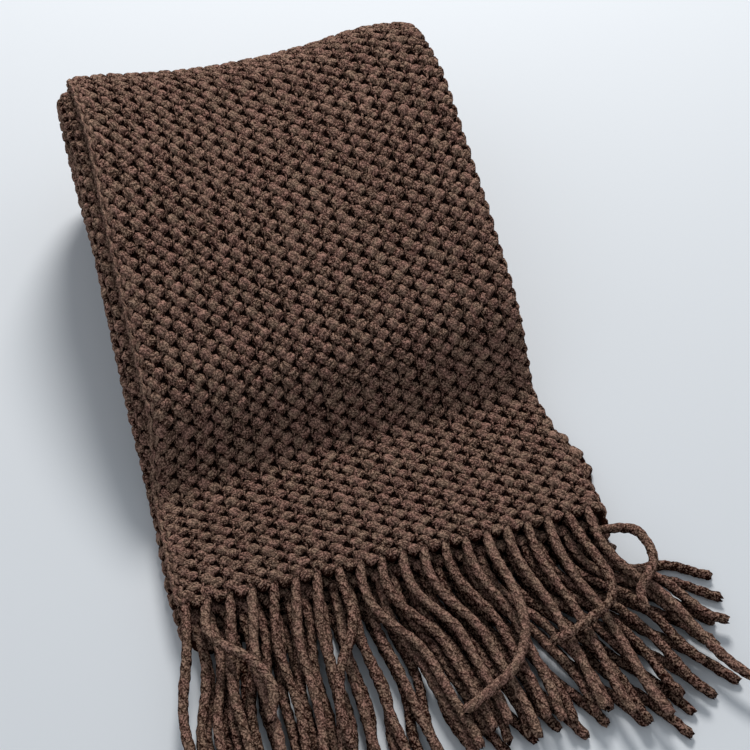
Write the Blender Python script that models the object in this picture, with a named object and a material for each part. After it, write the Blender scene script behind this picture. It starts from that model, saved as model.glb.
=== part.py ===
"""Chunky knit throw: folded in thirds lengthwise, its far part folded under, a yarn fringe at both ends.

Metres, +Z up, the near fringed end towards -Y. The panel is modelled flat at its real size and then folded:
first across its width into three layers, then along its length down a path of straight runs and bends.
"""
import math

import bpy
import bmesh
from mathutils import Vector

# ---- driving dimensions -------------------------------------------------------------------------
COLUMN = 0.020              # width of one V column of the knit
COLUMNS = 20                # V columns across one folded layer
LAYER_WIDTH = COLUMN * COLUMNS
CLOTH = 0.0124              # thickness of the knit
LAYER_GAP = 0.0006          # air between folded layers
PITCH = CLOTH + LAYER_GAP   # one layer and its gap
LAYERS = 3
BUNDLE = LAYERS * CLOTH + (LAYERS - 1) * LAYER_GAP
SIDE_FOLD = PITCH / 2       # mid-cloth radius of the folds at the two long sides
REST = BUNDLE / 2           # height of the bundle's middle where it lies on the floor

# the lengthwise folds
FLAP = 0.118                # near flap, flat on the floor
HOLLOW_RADIUS = 0.048       # hollow bend where the flap meets the pile
RISE = math.radians(48)     # steepest slope
RAMP = 0.050                # straight stretch at that slope
SHOULDER_RADIUS = 0.085     # rounded shoulder above it
TOP_START = math.radians(21)
TOP_END = math.radians(4)
TOP = 0.325                 # top of the pile, rising ever less
BURIED = 0.297              # each run inside the pile
TUCK_RADIUS = (BUNDLE + LAYER_GAP) / 2
LAST = 0.075                # the last run, up to the far end of the throw

# how the pile lies: slight shifts measured on the photo
FLAP_SKEW = -0.066          # the near edge runs at a slant across the pile
FLAP_WIDENING = 0.036       # the knit spreads where the flap lies free on the floor
FLAP_REACH = 0.14           # both fade out over this distance from the near edge
FAR_SHIFT = 0.012           # the far end lies a little to the right, and more so at its end
FAR_CURVE = 0.008
SIDES_RISE = 0.180          # shares of the height: the two sides are higher than the middle,
SIDE_TILT = -0.028          # the left side a little more so,
MIDDLE_SAG = -0.022         # and the middle sags
BACK_START = 0.12           # those shifts grow from here
BACK_REACH = 0.35           # to their full size this much further on
LEFT_CORNER = 0.011         # how far the far fold's two corners are drawn in
RIGHT_CORNER = 0.018
CORNER_DROP = 1.7           # share of the height lost per metre of that
CORNER_START = 0.47         # the corners' part of the pile: from here on along it,
CORNER_REACH = 0.13
CORNER_INSIDE = 0.13        # and from here outwards, as distances from the middle
CORNER_WIDTH = 0.07
FIRST_LAYER_IN = 0.012      # the first layer's left edge lies back from the fold under it,
FIRST_IN_START = 0.130      # from here on along the bundle
FIRST_IN_REACH = 0.100
THIRD_LAYER_OUT = 0.021     # third layer showing past the first at the right, on the floor,
THIRD_OUT_AT = 0.074        # most of all here
THIRD_OUT_SPAN = 0.030
LAYER_STEP = 0.017          # each lower layer reaches this much further at the near end

# fringe
STRAND = 0.0094             # side of a strand's square section
STRAND_LENGTH = 0.205
LENGTH_SCATTER = 0.05       # share by which strands are longer or shorter than that
LEAN_SCATTER = math.radians(0.4)
SCATTER_STEP = 2.2          # radians from one strand to the next in both scatters
WAVE_SPREAD = 5.6           # and from a row's first strand to its last in their waves
CURL_SPREAD = 8.0
CURL = 0.0034               # a shorter wave on top of each row's own
CURL_TURNS = 1.7
TURN_IN = 0.50              # share of a strand's length over which it turns to its lean
HEADING_DEPTH = 0.006
HEADING_HEIGHT = 0.0090
CLEARANCE = 0.0003
INNER_STEPS = 2
BAND = STRAND + 0.0009      # height between strands that lie on each other
LOOSE_ARCH = 0.007          # arch of a strand that lies across the others
LOOSE_RISE = 0.30           # share of its length over which it rises onto them
PRESSED_STRAND = 0.0070     # side of a strand's section where the pile lies on it
INNER_LENGTH = 0.150        # the hidden strands, bent by what lies on them
INNER_FALL = 0.625          # share of that length over which they come down
TUCKED_FLOOR = 2 * BUNDLE + 2 * LAYER_GAP
ORIGIN = (0.0225, 0.1900)   # middle of the whole folded throw in plan

YARN_COLOUR = (0.060, 0.033, 0.024, 1.0)
COLLECTION = "chunky_knit_throw"


def smooth(value):
    """0 below 0, 1 above 1, and an even ease between."""
    value = min(max(value, 0.0), 1.0)
    return value * value * (3.0 - 2.0 * value)


def bump(value, centre, width):
    return math.exp(-((value - centre) / width) ** 2)


# ---- the lengthwise path ------------------------------------------------------------------------
class Run:
    """One straight or evenly bent stretch of the folded bundle's middle line, in the Y-Z plane."""

    def __init__(self, length, turn=0.0, steps=1):
        self.length = length
        self.turn = turn
        self.steps = steps
        self.start = 0.0
        self.place = (0.0, REST)
        self.heading = 0.0

    def at(self, distance):
        """Y, Z and heading at a distance from the run's start."""
        y, z = self.place
        if abs(self.turn) < 1e-9:
            return (y + distance * math.cos(self.heading), z + distance * math.sin(self.heading),
                    self.heading)
        radius = self.length / self.turn
        heading = self.heading + distance / radius
        return (y + radius * (math.sin(heading) - math.sin(self.heading)),
                z - radius * (math.cos(heading) - math.cos(self.heading)), heading)


def bend(radius, angle, steps):
    return Run(radius * abs(angle), angle, steps)


def fold_path():
    """The throw's runs from its near end to its far end, joined head to tail."""
    runs = [
        Run(FLAP, 0.0, 6),
        bend(HOLLOW_RADIUS, RISE, 5),
        Run(RAMP, 0.0, 2),
        bend(SHOULDER_RADIUS, TOP_START - RISE, 3),
        Run(TOP, TOP_END - TOP_START, 10),
    ]
    join(runs)
    _, crest, _ = runs[-1].at(TOP)
    wrap_radius = (crest - REST) / (1.0 + math.cos(TOP_END))
    runs += [
        bend(wrap_radius, -(math.pi + TOP_END), 13),
        Run(BURIED, 0.0, 5),
        bend(TUCK_RADIUS, -math.pi, 8),
        Run(BURIED, 0.0, 5),
        bend(TUCK_RADIUS, math.pi, 8),
        Run(LAST, 0.0, 2),
    ]
    join(runs)
    return runs


def join(runs):
    start, place, heading = 0.0, (0.0, REST), 0.0
    for run in runs:
        run.start, run.place, run.heading = start, place, heading
        y, z, heading = run.at(run.length)
        start, place = start + run.length, (y, z)


RUNS = fold_path()
LENGTH = RUNS[-1].start + RUNS[-1].length


def along(distance, offset):
    """Y and Z of a point of the bundle: distance along it, offset from its middle line."""
    run = RUNS[0]
    for candidate in RUNS:
        if distance >= candidate.start:
            run = candidate
    y, z, heading = run.at(distance - run.start)
    return y - offset * math.sin(heading), z + offset * math.cos(heading)


# ---- the fold across ----------------------------------------------------------------------------
FLAT_LAYER = LAYER_WIDTH - SIDE_FOLD            # flat part of the first and the last layer
MIDDLE_LAYER = LAYER_WIDTH - 2 * SIDE_FOLD
FOLD_LENGTH = math.pi * SIDE_FOLD
WIDTH = 2 * FLAT_LAYER + MIDDLE_LAYER + 2 * FOLD_LENGTH


def across(width, depth):
    """X and offset of a point of the cloth: width over the panel, depth from its middle surface.

    The first layer runs from the left to the right on top, the second comes back under it and the
    third goes to the right again at the bottom.
    """
    left, right = -LAYER_WIDTH / 2, LAYER_WIDTH / 2
    if width <= FLAT_LAYER:
        return left + width, PITCH + depth
    width -= FLAT_LAYER
    if width <= FOLD_LENGTH:
        angle = width / SIDE_FOLD
        radius = SIDE_FOLD + depth
        return right - SIDE_FOLD + radius * math.sin(angle), PITCH / 2 + radius * math.cos(angle)
    width -= FOLD_LENGTH
    if width <= MIDDLE_LAYER:
        return right - SIDE_FOLD - width, -depth
    width -= MIDDLE_LAYER
    if width <= FOLD_LENGTH:
        angle = width / SIDE_FOLD
        radius = SIDE_FOLD - depth
        return left + SIDE_FOLD - radius * math.sin(angle), -PITCH / 2 + radius * math.cos(angle)
    width -= FOLD_LENGTH
    return left + SIDE_FOLD + width, -PITCH + depth


def layer_number(width):
    """0 on the first layer, 1 on the second and 2 on the third, eased round the folds."""
    first = (width - FLAT_LAYER) / FOLD_LENGTH
    second = (width - FLAT_LAYER - FOLD_LENGTH - MIDDLE_LAYER) / FOLD_LENGTH
    return smooth(first) + smooth(second)


def sideways(width, distance):
    """How far the layers' edges lie from each other sideways, at a place on the panel."""
    shown = smooth((distance - FIRST_IN_START) / FIRST_IN_REACH)
    near_left = smooth(1.0 - width / (LAYER_WIDTH / 2))
    near_right = smooth((width - WIDTH + LAYER_WIDTH / 3) / (LAYER_WIDTH / 3))
    return (FIRST_LAYER_IN * shown * near_left
            + THIRD_LAYER_OUT * near_right * bump(distance, THIRD_OUT_AT, THIRD_OUT_SPAN))


def lie(x, y, z):
    """The throw's slight unevenness, as one smooth shift of everything in it."""
    side = x / (LAYER_WIDTH / 2)
    back = min(max((y - BACK_START) / BACK_REACH, 0.0), 1.0)
    flap = smooth((FLAP_REACH - y) / FLAP_REACH)
    end = smooth((y - CORNER_START) / CORNER_REACH)
    drawn_in = LEFT_CORNER if x < 0 else RIGHT_CORNER
    corner = drawn_in * end * max(0.0, (abs(x) - CORNER_INSIDE) / CORNER_WIDTH) ** 2
    uneven = back * (MIDDLE_SAG + SIDE_TILT * side + SIDES_RISE * side * side)
    return (x * (1.0 + FLAP_WIDENING * flap) + (FAR_SHIFT + FAR_CURVE * back) * back,
            y + FLAP_SKEW * x * flap - corner,
            z * (1.0 + uneven - CORNER_DROP * corner))


def fold(width, distance, depth):
    """The folded place of a point of the flat panel."""
    x, offset = across(width, depth)
    y, z = along(distance, offset)
    x += sideways(width, distance)
    y -= LAYER_STEP * layer_number(width) * smooth(1.0 - distance / FLAP)
    return Vector(lie(x, y, z))


# ---- the panel ----------------------------------------------------------------------------------
def width_stations():
    """Places of the mesh's lengthwise edges over the panel's width, close together round the folds."""
    parts = [(FLAT_LAYER, 9), (FOLD_LENGTH, 5), (MIDDLE_LAYER, 6), (FOLD_LENGTH, 5), (FLAT_LAYER, 7)]
    stations = [0.0]
    for length, steps in parts:
        start = stations[-1]
        stations += [start + length * (step + 1) / steps for step in range(steps)]
    return stations


def length_stations():
    stations = [0.0]
    for run in RUNS:
        stations += [run.start + run.length * (step + 1) / run.steps for step in range(run.steps)]
    return stations


def flat_panel(columns, rows):
    """A closed slab of columns by rows unit squares, one unit thick."""
    mesh = bmesh.new()
    bmesh.ops.create_grid(mesh, x_segments=columns, y_segments=rows, size=0.5)
    bmesh.ops.translate(mesh, verts=mesh.verts[:], vec=(0.5, 0.5, 0.0))
    bmesh.ops.scale(mesh, verts=mesh.verts[:], vec=(columns, rows, 1.0))
    top = bmesh.ops.extrude_face_region(mesh, geom=mesh.faces[:])
    raised = [item for item in top["geom"] if isinstance(item, bmesh.types.BMVert)]
    bmesh.ops.translate(mesh, verts=raised, vec=(0.0, 0.0, 1.0))
    bmesh.ops.recalc_face_normals(mesh, faces=mesh.faces[:])
    return mesh


def blanket_mesh():
    widths, lengths = width_stations(), length_stations()
    mesh = flat_panel(len(widths) - 1, len(lengths) - 1)
    for vertex in mesh.verts:
        width = widths[round(vertex.co.x)]
        distance = lengths[round(vertex.co.y)]
        depth = (vertex.co.z - 0.5) * CLOTH
        vertex.co = fold(width, distance, depth)
    bmesh.ops.recalc_face_normals(mesh, faces=mesh.faces[:])
    return mesh


# ---- the fringe ---------------------------------------------------------------------------------
def layer_strip(layer):
    """The width range of a layer's flat part on the panel, from its left to its right."""
    if layer == 0:
        return 0.0, FLAT_LAYER
    if layer == 1:
        start = FLAT_LAYER + FOLD_LENGTH
        return start + MIDDLE_LAYER, start
    return WIDTH - FLAT_LAYER, WIDTH


def heading_line(layer, distance, outward, strands):
    """Points along a layer's end, left to right, for a heading strip with a strand on every other face."""
    first, last = layer_strip(layer)
    faces = 2 * strands - 1
    points = []
    for step in range(faces + 1):
        place = fold(first + (last - first) * step / faces, distance, 0.0)
        points.append(place + outward * CLEARANCE)
    return points


def heading_strip(points, outward):
    """A narrow bar along the points. Returns it and the faces that strands grow from: every other one."""
    mesh = bmesh.new()
    rings = []
    for point in points:
        front = point + outward * HEADING_DEPTH
        up = Vector((0, 0, HEADING_HEIGHT / 2))
        rings.append([mesh.verts.new(point - up), mesh.verts.new(front - up),
                      mesh.verts.new(front + up), mesh.verts.new(point + up)])
    roots = []
    for step in range(len(rings) - 1):
        here, there = rings[step], rings[step + 1]
        for side in range(4):
            face = mesh.faces.new((here[side], there[side],
                                   there[(side + 1) % 4], here[(side + 1) % 4]))
            if side == 1 and step % 2 == 0:
                roots.append(face)
    mesh.faces.new(rings[0][::-1])
    mesh.faces.new(rings[-1])
    bmesh.ops.recalc_face_normals(mesh, faces=mesh.faces[:])
    return mesh, roots


def grow_strand(mesh, face, path, width, height):
    """Extrude a root face along a path of (place, direction in plan) pairs."""
    for place, direction in path:
        grown = bmesh.ops.extrude_discrete_faces(mesh, faces=[face])
        face = grown["faces"][0]
        side = Vector((-direction.y, direction.x, 0.0)).normalized()
        centre = face.calc_center_median()
        for vertex in face.verts:
            from_centre = vertex.co - centre
            across_sign = 1.0 if from_centre.dot(side) > 0 else -1.0
            up_sign = 1.0 if from_centre.z > 0 else -1.0
            vertex.co = place + side * across_sign * width / 2 + Vector((0, 0, up_sign * height / 2))


# How each near row lies: its number of strands, the steps in one, the lean at its root in degrees, the share of its
# length over which it falls to its rest, its waves, and at shares of the way from the left to the right, its lean
# at its tip and its length as a share of the full one.
NEAR_ROWS = [
    {"name": "fringe_top", "strands": 20, "steps": 9, "start": -12.0, "fall": 0.53,
     "wave": 0.0100, "turns": 0.80, "phase": 2.5,
     "lean": [(0.0, -12.0), (0.2, -9.0), (0.33, -12.0), (0.42, 12.0), (0.55, 11.0), (0.75, 6.0), (0.87, 6.0),
              (0.94, 10.0), (1.0, 18.0)],
     "share": [(0.0, 1.0), (0.5, 0.96), (0.7, 0.98), (0.9, 1.03), (1.0, 1.10)]},
    {"name": "fringe_middle", "strands": 28, "steps": 8, "start": -3.0, "fall": 0.43,
     "wave": 0.0076, "turns": 0.95, "phase": 1.0,
     "lean": [(0.0, -10.0), (0.3, -8.0), (0.5, 8.0), (0.7, 19.0), (0.85, 26.0), (0.93, 32.0), (1.0, 42.0)],
     "share": [(0.0, 0.97), (0.4, 0.90), (0.6, 0.88), (0.8, 1.02), (0.9, 0.90), (1.0, 0.66)]},
    {"name": "fringe_bottom", "strands": 27, "steps": 8, "start": 4.0, "fall": 0.33,
     "wave": 0.0080, "turns": 0.85, "phase": 4.0,
     "lean": [(0.0, -12.0), (0.2, -6.0), (0.4, 3.0), (0.6, 16.0), (0.75, 25.0), (0.9, 37.0), (1.0, 52.0)],
     "share": [(0.0, 0.93), (0.4, 0.84), (0.6, 0.86), (0.75, 1.06), (0.83, 0.98), (0.93, 0.67), (1.0, 0.52)]},
]
FAR_ROWS = ["fringe_inner_top", "fringe_inner_middle", "fringe_inner_bottom"]

# These strands lie loose across all three rows: by row and number, their places in plan, root to tip.
LOOSE = {
    ("fringe_top", 1): [(-0.188, -0.014), (-0.189, -0.030), (-0.181, -0.048), (-0.165, -0.065),
                        (-0.154, -0.082), (-0.150, -0.104), (-0.160, -0.130)],
    ("fringe_top", 7): [(-0.058, -0.030), (-0.060, -0.056), (-0.070, -0.080), (-0.085, -0.100),
                        (-0.096, -0.125), (-0.101, -0.150), (-0.100, -0.176)],
    ("fringe_top", 14): [(0.088, -0.036), (0.089, -0.068), (0.088, -0.098), (0.080, -0.128),
                         (0.061, -0.152), (0.034, -0.165), (0.003, -0.176)],
    ("fringe_top", 18): [(0.175, -0.046), (0.177, -0.074), (0.178, -0.100), (0.169, -0.121),
                         (0.144, -0.132), (0.120, -0.138), (0.102, -0.139)],
    ("fringe_middle", 27): [(0.218, -0.046), (0.226, -0.061), (0.229, -0.080), (0.225, -0.097),
                            (0.213, -0.109), (0.201, -0.120), (0.197, -0.139)],
}


def between(table, share):
    """A value between those listed at shares of the way from the left to the right."""
    for (start, before), (end, after) in zip(table, table[1:]):
        if share <= end:
            return before + (after - before) * smooth((share - start) / (end - start))
    return table[-1][1]


def near_strand(row, number, root, band):
    """Path of one strand of the near end, from its root to its tip."""
    place = number / (row["strands"] - 1)
    start = math.radians(row["start"])
    lean = math.radians(between(row["lean"], place)) + LEAN_SCATTER * math.sin(SCATTER_STEP * number)
    length = STRAND_LENGTH * between(row["share"], place)
    length *= 1.0 + LENGTH_SCATTER * math.sin(SCATTER_STEP * number + row["phase"])
    rest = STRAND / 2 + BAND * band
    path = []
    for step in range(1, row["steps"] + 1):
        part = step / row["steps"]
        wave = row["wave"] * math.sin(2 * math.pi * row["turns"] * part + WAVE_SPREAD * place + row["phase"])
        wave += CURL * math.sin(2 * math.pi * CURL_TURNS * part + CURL_SPREAD * place)
        heading = start + (lean - start) * smooth(part / TURN_IN)
        direction = Vector((math.sin(heading), -math.cos(heading), 0.0))
        side = Vector((-direction.y, direction.x, 0.0))
        flat = root + direction * length * part + side * part * wave
        height = rest + (root.z - rest) * (1.0 - smooth(part / row["fall"]))
        path.append((Vector((flat.x, flat.y, height)), direction))
    return path


def loose_strand(places, root):
    """Path of a strand that rises onto the near rows and lies there in a low arch over those still falling."""
    points = []
    for step, (x, y) in enumerate(places, 1):
        part = step / len(places)
        over = STRAND / 2 + BAND * LAYERS + LOOSE_ARCH * math.sin(math.pi * part)
        points.append(Vector((x, y, root.z + (over - root.z) * smooth(part / LOOSE_RISE))))
    path = []
    for here, there in zip([root] + points, points):
        direction = there - here
        path.append((there, Vector((direction.x, direction.y, 0.0)).normalized()))
    return path


def inner_strand(layer, number):
    """Path of one strand of the hidden end, straight inside the fold."""
    first, last = layer_strip(layer)
    x, offset = across(first + (last - first) * (2 * number + 0.5) / (2 * COLUMNS - 1), 0.0)
    end, start_height = along(LENGTH, offset)
    floor = TUCKED_FLOOR + PRESSED_STRAND / 2 + BAND * layer
    path = []
    for step in range(1, INNER_STEPS + 1):
        part = step / INNER_STEPS
        height = start_height + (floor - start_height) * smooth(part / INNER_FALL)
        place = Vector(lie(x, end - INNER_LENGTH * part, height))
        path.append((place, Vector((0.0, -1.0, 0.0))))
    return path


def finish_object(mesh, name, material, collection):
    bmesh.ops.translate(mesh, verts=mesh.verts[:], vec=(-ORIGIN[0], -ORIGIN[1], 0.0))
    data = bpy.data.meshes.new(name)
    mesh.to_mesh(data)
    mesh.free()
    data.materials.append(material)
    data.shade_smooth()
    data.set_sharp_from_angle(angle=math.radians(50))
    piece = bpy.data.objects.new(name, data)
    collection.objects.link(piece)
    return piece


def yarn_material(name, shade):
    material = bpy.data.materials.new(name)
    material.use_nodes = True
    shader = material.node_tree.nodes["Principled BSDF"]
    shader.inputs["Base Color"].default_value = [channel * shade for channel in YARN_COLOUR[:3]] + [1.0]
    shader.inputs["Roughness"].default_value = 0.95
    shader.inputs["Metallic"].default_value = 0.0
    return material


def build():
    for old in list(bpy.data.objects):
        bpy.data.objects.remove(old, do_unlink=True)
    collection = bpy.data.collections.new(COLLECTION)
    bpy.context.scene.collection.children.link(collection)

    finish_object(blanket_mesh(), "blanket", yarn_material("knit_yarn", 1.0), collection)

    outward = Vector((0.0, -1.0, 0.0))
    for layer, row in enumerate(NEAR_ROWS):
        mesh, roots = heading_strip(heading_line(layer, 0.0, outward, row["strands"]), outward)
        for number, face in enumerate(roots):
            root = face.calc_center_median()
            if (row["name"], number) in LOOSE:
                path = loose_strand(LOOSE[row["name"], number], root)
            else:
                path = near_strand(row, number, root, LAYERS - 1 - layer)
            grow_strand(mesh, face, path, STRAND, STRAND)
        finish_object(mesh, row["name"], yarn_material(row["name"] + "_yarn", 1.1), collection)
    for layer, name in enumerate(FAR_ROWS):
        mesh, roots = heading_strip(heading_line(layer, LENGTH, outward, COLUMNS), outward)
        for number, face in enumerate(roots):
            grow_strand(mesh, face, inner_strand(layer, number), PRESSED_STRAND, PRESSED_STRAND)
        finish_object(mesh, name, yarn_material(name + "_yarn", 1.1), collection)


build()
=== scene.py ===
"""Chunky knit throw: the looks of the folded knit and its yarn fringe, over its solids."""
import math
from functools import partial

import bmesh
import bpy
import numpy as np
from mathutils import Matrix, Vector


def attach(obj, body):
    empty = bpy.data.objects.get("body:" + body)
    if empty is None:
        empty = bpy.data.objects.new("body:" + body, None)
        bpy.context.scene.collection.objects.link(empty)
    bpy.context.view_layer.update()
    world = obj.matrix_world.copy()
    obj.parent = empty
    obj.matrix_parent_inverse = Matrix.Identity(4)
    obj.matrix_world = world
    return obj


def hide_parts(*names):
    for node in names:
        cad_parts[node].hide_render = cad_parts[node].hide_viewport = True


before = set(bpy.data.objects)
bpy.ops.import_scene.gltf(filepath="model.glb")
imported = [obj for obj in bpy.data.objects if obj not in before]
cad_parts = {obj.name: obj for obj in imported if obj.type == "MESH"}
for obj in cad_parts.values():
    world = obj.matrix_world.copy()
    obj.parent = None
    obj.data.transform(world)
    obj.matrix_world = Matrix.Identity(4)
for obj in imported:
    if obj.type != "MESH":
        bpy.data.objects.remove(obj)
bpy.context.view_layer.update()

bl_info = {
    "name": "Chunky knit throw",
    "version": (1, 0, 0),
    "blender": (4, 5, 0),
    "location": "3D View > Sidebar > Throw",
    "description": "Knits a folded throw of thick chenille yarn over its solids, with a fringe at both ends",
    "category": "Add Mesh",
}

# ---- the folded throw, as in its solids ----
COLUMN = 0.020              # width of one column of the knit
COLUMNS = 20
LAYER_WIDTH = COLUMN * COLUMNS
CLOTH = 0.0124
LAYER_GAP = 0.0006
PITCH = CLOTH + LAYER_GAP
LAYERS = 3
BUNDLE = LAYERS * CLOTH + (LAYERS - 1) * LAYER_GAP
SIDE_FOLD = PITCH / 2
REST = BUNDLE / 2
FLAT_LAYER = LAYER_WIDTH - SIDE_FOLD
MIDDLE_LAYER = LAYER_WIDTH - 2 * SIDE_FOLD
FOLD_LENGTH = math.pi * SIDE_FOLD
WIDTH = 2 * FLAT_LAYER + MIDDLE_LAYER + 2 * FOLD_LENGTH

FLAP = 0.118
HOLLOW_RADIUS = 0.048
RISE = math.radians(48)
RAMP = 0.050
SHOULDER_RADIUS = 0.085
TOP_START = math.radians(21)
TOP_END = math.radians(4)
TOP = 0.325
BURIED = 0.297
TUCK_RADIUS = (BUNDLE + LAYER_GAP) / 2
LAST = 0.075

FLAP_SKEW = -0.066
FLAP_WIDENING = 0.036
FLAP_REACH = 0.14
FAR_SHIFT = 0.012
FAR_CURVE = 0.008
SIDES_RISE = 0.180
SIDE_TILT = -0.028
MIDDLE_SAG = -0.022
BACK_START = 0.12
BACK_REACH = 0.35
LEFT_CORNER = 0.011
RIGHT_CORNER = 0.018
CORNER_DROP = 1.7
CORNER_START = 0.47
CORNER_REACH = 0.13
CORNER_INSIDE = 0.13
CORNER_WIDTH = 0.07
FIRST_LAYER_IN = 0.012
FIRST_IN_START = 0.130
FIRST_IN_REACH = 0.100
THIRD_LAYER_OUT = 0.021
THIRD_OUT_AT = 0.074
THIRD_OUT_SPAN = 0.030
LAYER_STEP = 0.017
ORIGIN = (0.0225, 0.1900)   # middle of the whole folded throw in plan

STRAND = 0.0094
STRAND_LENGTH = 0.205
LENGTH_SCATTER = 0.05
LEAN_SCATTER = math.radians(0.4)
SCATTER_STEP = 2.2
WAVE_SPREAD = 5.6
CURL_SPREAD = 8.0
CURL = 0.0034
CURL_TURNS = 1.7
TURN_IN = 0.50
BAND = STRAND + 0.0009
HEADING = 0.0063            # from the knit's edge to where a strand leaves its heading strip
LOOSE_ARCH = 0.007
LOOSE_RISE = 0.30
INNER_LENGTH = 0.150
INNER_FALL = 0.625
PRESSED_STRAND = 0.0070
TUCKED_FLOOR = 2 * BUNDLE + 2 * LAYER_GAP

# ---- the knit ----
ROW = 0.0158                # length of one row of the knit
EDGE_CHAINS = (0.0004, 0.0048)  # places of the two chains along the panel's edge
FIRST_COLUMN = 0.0055       # where the first column starts, beside them
BACKING = 0.0050            # thickness of the plain sheet behind the stitches
BACKING_ACROSS = (18, 8, 14, 8, 18)     # steps of that sheet over each layer and side fold
BACKING_ALONG = (8, 10, 5, 6, 20, 26, 10, 16, 10, 16, 4)    # and over each run of the fold path
PRESSED = 0.0001            # height over the floor of the yarn that is pressed flat on it
SKIN = 0.004                # how far outside the cloth's middle the stitches are counted
OUTER = 0.0192              # and outside the whole bundle's middle
OWN = 0.22                  # how much lighter the lightest stitch is than the darkest
PAINTED_RIM_SHADE = 0.96                  # painted shade: how much lighter a stitch's top is painted than its shaded rim
PAINTED_UPPER_LIGHT = 0.62                # painted light and shade: how much lighter a strand's upper side is painted than its lower one
PAINTED_ROW_SHADE = 0.30             # painted shade: how much darker each lower row of strands is painted, as a share of OWN

# Rows where the knit's parts end, from the near edge: over the pile and round under it on the front face,
# and as far as the part that is tucked in on the back face.
FLAP_END, PILE_END, FAR_END, UNDERSIDE_END = 14, 36, 58, 74
HOLLOW_END, TUCK_START = 17, 56
REACH_END = 3               # where the lower layers' upper sides go under the layer above
CORNER_END, CORNER_COLUMNS = 12, 4      # and the third layer's, in its last columns at the right corner

WOBBLE_STEPS = (12.9898, 78.233, 37.719, 9.151)
WOBBLE_SIZE = 43758.5453


def smooth(value):
    """0 below 0, 1 above 1, and an even ease between."""
    value = np.clip(value, 0.0, 1.0)
    return value * value * (3.0 - 2.0 * value)


def wobble(*numbers):
    """An even, repeatable scatter between -1 and 1 for whole numbers."""
    seed = sum(np.asarray(number) * step for number, step in zip(numbers, WOBBLE_STEPS))
    return 2.0 * np.modf(np.abs(np.sin(seed) * WOBBLE_SIZE))[0] - 1.0


class FoldPath:
    """The runs of the folded bundle's middle line, in the Y-Z plane: straight, or bent by a turn."""

    def __init__(self):
        runs = [(FLAP, 0.0), (HOLLOW_RADIUS * RISE, RISE), (RAMP, 0.0),
                (SHOULDER_RADIUS * (RISE - TOP_START), TOP_START - RISE), (TOP, TOP_END - TOP_START)]
        self.lay(runs)
        crest = self.along(self.length, 0.0)[1]
        wrap = math.pi + TOP_END
        runs += [((crest - REST) / (1.0 + math.cos(TOP_END)) * wrap, -wrap), (BURIED, 0.0),
                 (TUCK_RADIUS * math.pi, -math.pi), (BURIED, 0.0), (TUCK_RADIUS * math.pi, math.pi),
                 (LAST, 0.0)]
        self.lay(runs)

    def lay(self, runs):
        self.lengths = np.array([length for length, _ in runs])
        self.bends = np.array([turn / length for length, turn in runs])
        ends = np.cumsum(self.lengths)
        self.length = ends[-1]
        self.starts = np.concatenate(([0.0], ends[:-1]))
        self.headings = np.concatenate(([0.0], np.cumsum(self.lengths * self.bends)[:-1]))
        half = self.lengths * self.bends / 2
        chord = self.lengths * np.sinc(half / math.pi)
        self.y = np.concatenate(([0.0], np.cumsum(chord * np.cos(self.headings + half))[:-1]))
        self.z = REST + np.concatenate(([0.0], np.cumsum(chord * np.sin(self.headings + half))[:-1]))

    def along(self, distance, offset):
        """Y and Z at a distance along the bundle, offset from its middle line."""
        run = np.clip(np.searchsorted(self.starts, distance, side="right") - 1, 0, len(self.starts) - 1)
        gone = distance - self.starts[run]
        half = gone * self.bends[run] / 2
        chord = gone * np.sinc(half / math.pi)
        middle = self.headings[run] + half
        heading = middle + half
        return (self.y[run] + chord * np.cos(middle) - offset * np.sin(heading),
                self.z[run] + chord * np.sin(middle) + offset * np.cos(heading))


PATH = FoldPath()
LENGTH = float(PATH.length)
WRAP_END = float(PATH.starts[6])            # where the far fold ends


def across(width, depth):
    """X and offset of a point of the cloth: width over the panel, depth from its middle surface."""
    left, right = -LAYER_WIDTH / 2, LAYER_WIDTH / 2
    second = FLAT_LAYER + FOLD_LENGTH
    second_end = second + MIDDLE_LAYER
    third = second_end + FOLD_LENGTH
    first_turn = (width - FLAT_LAYER) / SIDE_FOLD
    second_turn = (width - second_end) / SIDE_FOLD
    where = [width <= FLAT_LAYER, width <= second, width <= second_end, width <= third]
    x = np.select(where, [left + width,
                          right - SIDE_FOLD + (SIDE_FOLD + depth) * np.sin(first_turn),
                          right - SIDE_FOLD - (width - second),
                          left + SIDE_FOLD - (SIDE_FOLD - depth) * np.sin(second_turn)],
                  left + SIDE_FOLD + (width - third))
    offset = np.select(where, [PITCH + depth,
                               PITCH / 2 + (SIDE_FOLD + depth) * np.cos(first_turn),
                               -depth,
                               -PITCH / 2 + (SIDE_FOLD - depth) * np.cos(second_turn)],
                       -PITCH + depth)
    return x, offset


def sideways(width, distance):
    """How far the layers' edges lie from each other sideways, at a place on the panel."""
    shown = smooth((distance - FIRST_IN_START) / FIRST_IN_REACH)
    near_left = smooth(1.0 - width / (LAYER_WIDTH / 2))
    near_right = smooth((width - WIDTH + LAYER_WIDTH / 3) / (LAYER_WIDTH / 3))
    return (FIRST_LAYER_IN * shown * near_left
            + THIRD_LAYER_OUT * near_right * np.exp(-((distance - THIRD_OUT_AT) / THIRD_OUT_SPAN) ** 2))


def layer_number(width):
    first = (width - FLAT_LAYER) / FOLD_LENGTH
    second = (width - FLAT_LAYER - FOLD_LENGTH - MIDDLE_LAYER) / FOLD_LENGTH
    return smooth(first) + smooth(second)


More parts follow.
